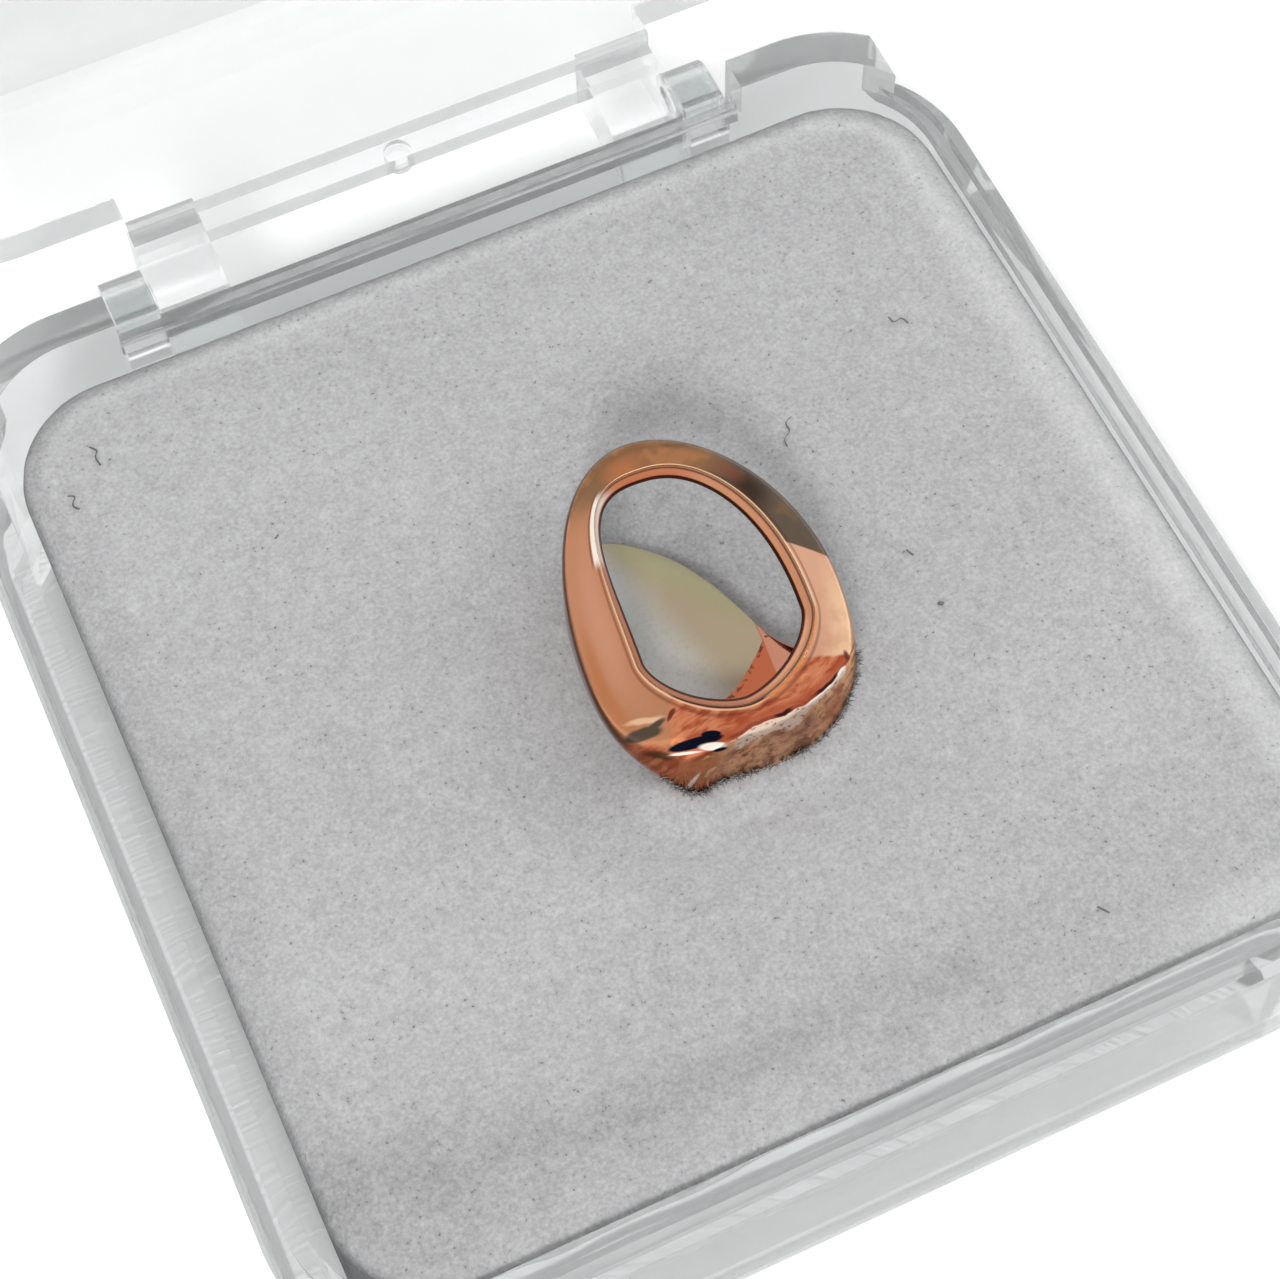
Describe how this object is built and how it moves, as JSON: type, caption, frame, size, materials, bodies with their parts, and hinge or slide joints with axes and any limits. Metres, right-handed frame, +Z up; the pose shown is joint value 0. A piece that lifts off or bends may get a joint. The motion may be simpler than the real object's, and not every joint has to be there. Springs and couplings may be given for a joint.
{
  "type": "tooth cover in hinged box",
  "caption": "Rose gold open-face tooth cap lying on the grey foam pad of a small clear hinged display box, with its lid standing open.",
  "frame": {"origin": "middle of the flat underside of the box", "axes": "+Z up, -Y front of the box, +X right; the hinge runs along X behind the box"},
  "size_m": [0.0364, 0.047, 0.0441],
  "materials": {
    "rose_gold": "mirror-polished rose gold, pale ivory inside the back wall, rough-cast at the biting end",
    "grey_foam": "short grey flock on foam, matt",
    "clear_plastic": "clear moulded polystyrene, glossy"
  },
  "bodies": {
    "box": {"box_base": "clear_plastic", "foam_pad": "grey_foam", "tooth_cap": "rose_gold"},
    "lid": {"box_lid": "clear_plastic"}
  },
  "joints": [
    {"name": "lid_hinge", "type": "hinge", "parent": "box", "child": "lid", "pos_m": [0, 0.0193, 0.0065], "axis": [1, 0, 0], "range_deg": [0, 90]}
  ]
}
